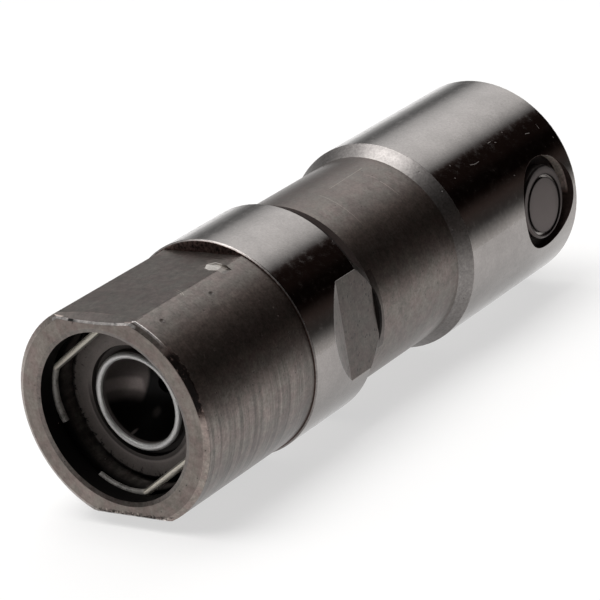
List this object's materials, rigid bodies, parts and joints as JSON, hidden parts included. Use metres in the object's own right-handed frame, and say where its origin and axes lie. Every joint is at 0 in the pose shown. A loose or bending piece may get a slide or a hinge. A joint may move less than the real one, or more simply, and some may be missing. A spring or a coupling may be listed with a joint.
{
  "type": "hydraulic roller valve lifter",
  "caption": "Hydraulic roller valve lifter: round steel body with guide flats, pushrod socket behind a wire clip, staked axle and cam roller.",
  "frame": {"origin": "centre of the bore's mouth, on the body's axis in the plane of the pushrod end's face", "axes": "+X along the body's axis towards the cam roller, +Z normal to the upper guide flat, Y along the roller's axle"},
  "size_m": [0.0663, 0.0214, 0.0214],
  "materials": {
    "body_steel": "ground bands, dull turned and milled steel between them",
    "clip_wire": "drawn spring wire",
    "seat_steel": "hardened steel, polished lip and socket",
    "disc_steel": "rolled strip",
    "plunger_steel": "ground",
    "ball_steel": "polished",
    "spring_steel": "oiled spring wire",
    "cage_steel": "pressed strip",
    "axle_steel": "ground, staked end",
    "roller_steel": "ground",
    "needle_steel": "ground"
  },
  "bodies": {
    "body": {"lifter_body": "body_steel", "retainer_clip": "clip_wire", "roller_axle": "axle_steel", "plunger_spring": "spring_steel"},
    "plunger_assembly": {"pushrod_seat": "seat_steel", "metering_disc": "disc_steel", "plunger": "plunger_steel", "ball_cage": "cage_steel", "check_spring": "spring_steel"},
    "check_valve": {"check_ball": "ball_steel"},
    "roller": {"roller_wheel": "roller_steel"},
    "needle_set": {"needle_01": "needle_steel", "needle_02": "needle_steel", "needle_03": "needle_steel", "needle_04": "needle_steel", "needle_05": "needle_steel", "needle_06": "needle_steel", "needle_07": "needle_steel", "needle_08": "needle_steel", "needle_09": "needle_steel", "needle_10": "needle_steel", "needle_11": "needle_steel", "needle_12": "needle_steel", "needle_13": "needle_steel", "needle_14": "needle_steel", "needle_15": "needle_steel", "needle_16": "needle_steel"}
  },
  "joints": [
    {"name": "plunger_slide", "type": "slide", "parent": "body", "child": "plunger_assembly", "axis": [1, 0, 0], "range_m": [-0.0014, 0.0025], "stiffness_N_per_m": 2500, "deforming": ["plunger_spring"]},
    {"name": "check_ball_lift", "type": "slide", "parent": "plunger_assembly", "child": "check_valve", "axis": [1, 0, 0], "range_m": [0, 0.0004], "stiffness_N_per_m": 50, "deforming": ["check_spring"]},
    {"name": "roller_spin", "type": "hinge", "parent": "body", "child": "roller", "pos_m": [0.0575, 0, 0], "axis": [0, 1, 0], "continuous": true},
    {"name": "needle_orbit", "type": "hinge", "parent": "body", "child": "needle_set", "pos_m": [0.0575, 0, 0], "axis": [0, 1, 0], "continuous": true}
  ],
  "couplings": [
    {"joint": "needle_orbit", "follows": "roller_spin", "ratio": 0.5928}
  ]
}
